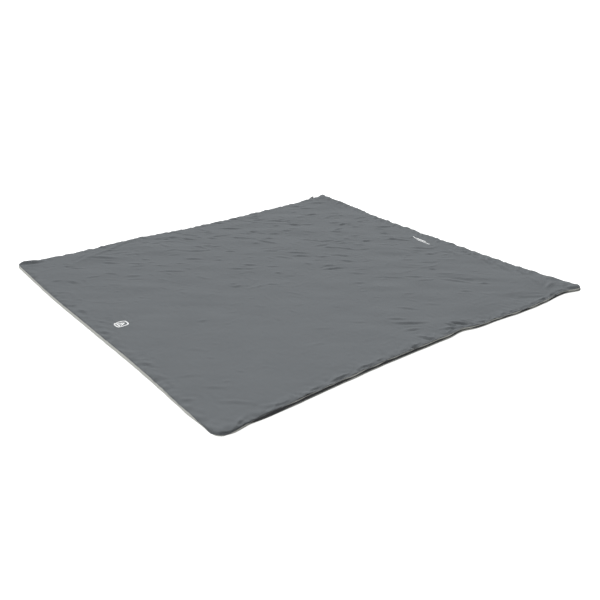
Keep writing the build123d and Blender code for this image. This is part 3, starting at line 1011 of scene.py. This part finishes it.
def stitch_row(name, cloth_object, places, thread):
    """Small raised threads end to end along places, each lying on the cloth."""
    surface = BVHTree.FromObject(cloth_object, bpy.context.evaluated_depsgraph_get())
    on_cloth = [surface.find_nearest(Vector(place))[:2] for place in places]
    vertices, faces = [], []
    for (here, normal), (there, _) in zip(on_cloth, on_cloth[1:] + on_cloth[:1]):
        ahead = there - here
        if ahead.length < 0.5 * STITCH_LENGTH:
            continue
        ahead.normalize()
        side = ahead.cross(normal).normalized()
        first = len(vertices)
        for place, size in STITCH_SHAPE:
            middle = here + ahead * place * STITCH_LENGTH + normal * THREAD_RADIUS * (2 * size - 1.5)
            for k in range(THREAD_SIDES):
                turn = math.tau * k / THREAD_SIDES
                spoke = side * math.cos(turn) + normal * math.sin(turn)
                vertices.append(middle + spoke * THREAD_RADIUS * size)
        last = first + (len(STITCH_SHAPE) - 1) * THREAD_SIDES
        for ring in range(first, last, THREAD_SIDES):
            for k in range(THREAD_SIDES):
                low = ring + k
                beside = ring + (k + 1) % THREAD_SIDES
                faces.append((low, beside, beside + THREAD_SIDES, low + THREAD_SIDES))
        faces.append(tuple(first + k for k in reversed(range(THREAD_SIDES))))
        faces.append(tuple(last + k for k in range(THREAD_SIDES)))
    mesh = bpy.data.meshes.new(name)
    mesh.from_pydata(vertices, [], faces)
    mesh.polygons.foreach_set("use_smooth", np.ones(len(faces), bool))
    made = bpy.data.objects.new(name, mesh)
    bpy.context.scene.collection.objects.link(made)
    made.data.materials.append(thread)
    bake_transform(made)
    return made


def twisted_thread(name, dark, light):
    material, tree, shader = new_material(name)
    place = add(tree, "ShaderNodeTexCoord").outputs["Object"]
    plies = add(tree, "ShaderNodeTexWave", {
        "Vector": place, "Scale": 900.0, "Distortion": 1.5,
    }, bands_direction="DIAGONAL").outputs["Fac"]
    tree.links.new(blend_colours(tree, plies, dark, light), shader.inputs["Base Color"])
    tree.links.new(relief(tree, plies, 0.08 * MM), shader.inputs["Normal"])
    shader.inputs["Roughness"].default_value = 0.55
    shader.inputs["Sheen Weight"].default_value = 0.3
    return material


shell_thread = twisted_thread("shell_thread", (0.10, 0.107, 0.113), (0.17, 0.182, 0.192))
lining_thread = twisted_thread("lining_thread", (0.30, 0.31, 0.285), (0.45, 0.46, 0.43))

outline = pattern_outline(SHELL_ROW, STITCH_PITCH)
shell_path = np.stack(shell_surface(outline[:, 0], outline[:, 1]), -1)
shell_stitches = stitch_row("shell_stitching", shell, shell_path, shell_thread)

outline = pattern_outline(LINING_ROW, STITCH_PITCH)
lining_path = np.stack(lining_surface(outline[:, 0], outline[:, 1]), -1)
lining_stitches = stitch_row("lining_stitching", lining, lining_path, lining_thread)

# ---- Stops, pins and films ----------------------------------------------------------------------
# Small plastic ends of the zip: a stop crimped over the coil at each head end, a pin welded on at
# each foot end, and a clear film that stiffens the tape beside the pin.


def edge_wear():
    """Where a hard edge is rubbed: a Mask near convex edges, broken up by noise."""
    group, given, result = effect_group("edge_wear", {"Amount": 0.5}, ["Mask"])
    edge = add(group, "ShaderNodeNewGeometry").outputs["Pointiness"]
    place = add(group, "ShaderNodeTexCoord").outputs["Object"]
    patchy = add(group, "ShaderNodeTexNoise", {
        "Vector": place, "Scale": 900.0, "Detail": 4.0,
    }).outputs[0]
    sharp = maths(group, "MULTIPLY", maths(group, "SUBTRACT", edge, 0.52), 9.0)
    worn = maths(group, "MULTIPLY", maths(group, "MULTIPLY", sharp, patchy), given["Amount"])
    clamped = add(group, "ShaderNodeClamp", {"Value": worn}).outputs[0]
    group.links.new(clamped, result["Mask"])
    return group


def moulded_grain():
    """The faint grain and flow of a moulded or cast surface: Height and Shade."""
    group, given, result = effect_group("moulded_grain", {"Scale": 1500.0}, ["Height", "Shade"])
    place = add(group, "ShaderNodeTexCoord").outputs["Object"]
    fine = add(group, "ShaderNodeTexNoise", {
        "Vector": place, "Scale": given["Scale"], "Detail": 5.0,
    }).outputs[0]
    broad = add(group, "ShaderNodeTexNoise", {
        "Vector": place, "Scale": maths(group, "MULTIPLY", given["Scale"], 0.12), "Detail": 2.0,
    }).outputs[0]
    group.links.new(fine, result["Height"])
    group.links.new(broad, result["Shade"])
    return group


EDGE_WEAR = edge_wear()
MOULDED_GRAIN = moulded_grain()


def moulded_material(name, dark, light, worn, roughness, grain_depth):
    """A moulded plastic or rubber, lighter where its edges are rubbed."""
    material, tree, shader = new_material(name)
    grain = use(tree, MOULDED_GRAIN)
    colour = blend_colours(tree, grain["Shade"], dark, light)
    rubbed = add(tree, "ShaderNodeMix", {0: use(tree, EDGE_WEAR)["Mask"]}, data_type="RGBA")
    tree.links.new(colour, rubbed.inputs[6])
    rubbed.inputs[7].default_value = (*worn, 1)
    tree.links.new(rubbed.outputs[2], shader.inputs["Base Color"])
    tree.links.new(relief(tree, grain["Height"], grain_depth), shader.inputs["Normal"])
    rough = maths(tree, "MULTIPLY_ADD", grain["Shade"], 0.15)
    rough.node.inputs[2].default_value = roughness - 0.07
    tree.links.new(rough, shader.inputs["Roughness"])
    return material, tree, shader


def dress(nodes, material):
    """Gives carried-over parts their finish."""
    for name in nodes:
        part = frame["nodes"][name]
        part.data.materials.clear()
        part.data.materials.append(material)


stop_plastic = moulded_material(
    "stop_plastic", (0.022, 0.023, 0.025), (0.040, 0.042, 0.045), (0.12, 0.12, 0.125), 0.38, 0.03 * MM
)[0]
dress(["top_stop_left", "top_stop_right", "holding_pin", "insertion_pin"], stop_plastic)

end_film, tree, shader = new_material("end_film_clear")
film = use(tree, MOULDED_GRAIN, {"Scale": 700.0})
film_colour = blend_colours(tree, film["Shade"], (0.24, 0.25, 0.26), (0.36, 0.37, 0.38))
tree.links.new(film_colour, shader.inputs["Base Color"])
tree.links.new(relief(tree, film["Height"], 0.04 * MM), shader.inputs["Normal"])
shader.inputs["Roughness"].default_value = 0.2
shader.inputs["Alpha"].default_value = 0.6
shader.inputs["Coat Weight"].default_value = 0.4
dress(["end_film_left", "end_film_right"], end_film)

# ---- Sliders and tabs ---------------------------------------------------------------------------
# Two die-cast zinc sliders, painted black, each with a stamped tab that turns on its pivot. The
# paint is rubbed through to bright metal along the edges that the coil and fingers touch.


def painted_zinc():
    material, tree, shader = new_material("painted_zinc")
    grain = use(tree, MOULDED_GRAIN, {"Scale": 2200.0})
    worn = use(tree, EDGE_WEAR, {"Amount": 1.4})["Mask"]
    paint = blend_colours(tree, grain["Shade"], (0.032, 0.034, 0.036), (0.056, 0.059, 0.062))
    colour = add(tree, "ShaderNodeMix", {0: worn}, data_type="RGBA")
    tree.links.new(paint, colour.inputs[6])
    colour.inputs[7].default_value = (0.52, 0.53, 0.55, 1)
    tree.links.new(colour.outputs[2], shader.inputs["Base Color"])
    tree.links.new(worn, shader.inputs["Metallic"])
    tree.links.new(relief(tree, grain["Height"], 0.02 * MM), shader.inputs["Normal"])
    rough = maths(tree, "MULTIPLY_ADD", grain["Shade"], 0.2)
    rough.node.inputs[2].default_value = 0.26
    tree.links.new(rough, shader.inputs["Roughness"])
    shader.inputs["Coat Weight"].default_value = 0.25
    return material


zinc = painted_zinc()
dress(["side_slider_body", "foot_slider_body", "side_pull_tab", "foot_pull_tab"], zinc)

# ---- Pull grips ---------------------------------------------------------------------------------
# Soft oval rubber grips moulded round the tabs, black at the rim, with a dished grey inlay that
# the thumb sits in.

grip_low, grip_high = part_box("foot_pull_grip")
INLAY_HALF_HEIGHT = (grip_high.z - grip_low.z) / 2 - 0.5 * MM
INLAY_COLOUR = (0.13, 0.14, 0.148, 1)
for pull in ("side", "foot"):
    grip_rubber, tree, shader = moulded_material(
        f"{pull}_grip_rubber", (0.026, 0.028, 0.030), (0.045, 0.048, 0.051), (0.10, 0.10, 0.105),
        0.6, 0.06 * MM,
    )
    hinge = next(joint for joint in frame["joints"] if joint["name"] == f"{pull}_pull_flip")
    face = Vector((0, 0, 1))
    face.rotate(Quaternion(hinge["axis"], math.radians(-hinge["range_deg"][0])))
    place = add(tree, "ShaderNodeTexCoord").outputs
    from_pivot = add(
        tree, "ShaderNodeVectorMath", {0: place["Object"], 1: hinge["pos_m"]}, operation="SUBTRACT"
    ).outputs[0]
    height = add(
        tree, "ShaderNodeVectorMath", {0: from_pivot, 1: face}, operation="DOT_PRODUCT"
    ).outputs["Value"]
    facing = add(
        tree, "ShaderNodeVectorMath", {0: place["Normal"], 1: face}, operation="DOT_PRODUCT"
    ).outputs["Value"]
    in_dish = maths(tree, "MULTIPLY",
                    maths(tree, "LESS_THAN", maths(tree, "ABSOLUTE", height), INLAY_HALF_HEIGHT),
                    maths(tree, "GREATER_THAN", maths(tree, "ABSOLUTE", facing), 0.8))
    rim_colour = shader.inputs["Base Color"].links[0].from_socket
    inlay = add(tree, "ShaderNodeMix", {0: in_dish}, data_type="RGBA")
    tree.links.new(rim_colour, inlay.inputs[6])
    inlay.inputs[7].default_value = INLAY_COLOUR
    tree.links.new(inlay.outputs[2], shader.inputs["Base Color"])
    dress([f"{pull}_pull_grip"], grip_rubber)

# ---- Studio -------------------------------------------------------------------------------------
# A plain white floor under an even white sky. A large soft light from beyond the far left side
# rakes across the creases, and a weaker one from the head end fills the near edge.

FLOOR_HALF = 60.0
FLOOR_GLOW, FLOOR_GLOW_SEEN = 0.16, 0.78  # the light it gives off, and how much more where it is seen
SKY_LIGHT, SKY_SEEN = 0.34, 0.66  # likewise for the sky
floor_x, floor_y = np.meshgrid([-FLOOR_HALF, FLOOR_HALF], [-FLOOR_HALF, FLOOR_HALF], indexing="ij")
floor = cloth_mesh("floor", floor_x, floor_y, np.zeros((2, 2)))
floor_paint, tree, shader = new_material("floor_paint")
shader.inputs["Base Color"].default_value = (0.50, 0.50, 0.50, 1)
shader.inputs["Roughness"].default_value = 0.9
shader.inputs["Specular IOR Level"].default_value = 0.1
shader.inputs["Emission Color"].default_value = (1, 1, 1, 1)
floor_seen = add(tree, "ShaderNodeLightPath").outputs["Is Camera Ray"]
floor_glow = maths(tree, "MULTIPLY_ADD", floor_seen, FLOOR_GLOW_SEEN)
floor_glow.node.inputs[2].default_value = FLOOR_GLOW
tree.links.new(floor_glow, shader.inputs["Emission Strength"])
floor.data.materials.append(floor_paint)

# Each light: strength, spread in degrees, and the way it points.
LIGHTS = {
    "soft_sun": (3.3, 34, (0.66, -0.54, -0.50)),
    "head_fill": (1.05, 60, (-0.10, 0.94, -0.32)),
}
for name, (energy, spread, pointing) in LIGHTS.items():
    light = bpy.data.objects.new(name, bpy.data.lights.new(name, "SUN"))
    light.data.energy = energy
    light.data.angle = math.radians(spread)
    light.rotation_euler = Vector(pointing).to_track_quat("-Z", "Y").to_euler()
    bpy.context.scene.collection.objects.link(light)

world = bpy.data.worlds.new("studio")
world.use_nodes = True
sky = world.node_tree
sky_seen = add(sky, "ShaderNodeLightPath").outputs["Is Camera Ray"]
sky_light = maths(sky, "MULTIPLY_ADD", sky_seen, SKY_SEEN)
sky_light.node.inputs[2].default_value = SKY_LIGHT
sky.nodes["Background"].inputs["Color"].default_value = (1, 1, 1, 1)
sky.links.new(sky_light, sky.nodes["Background"].inputs["Strength"])
bpy.context.scene.world = world
bpy.context.scene.view_settings.view_transform = "Standard"
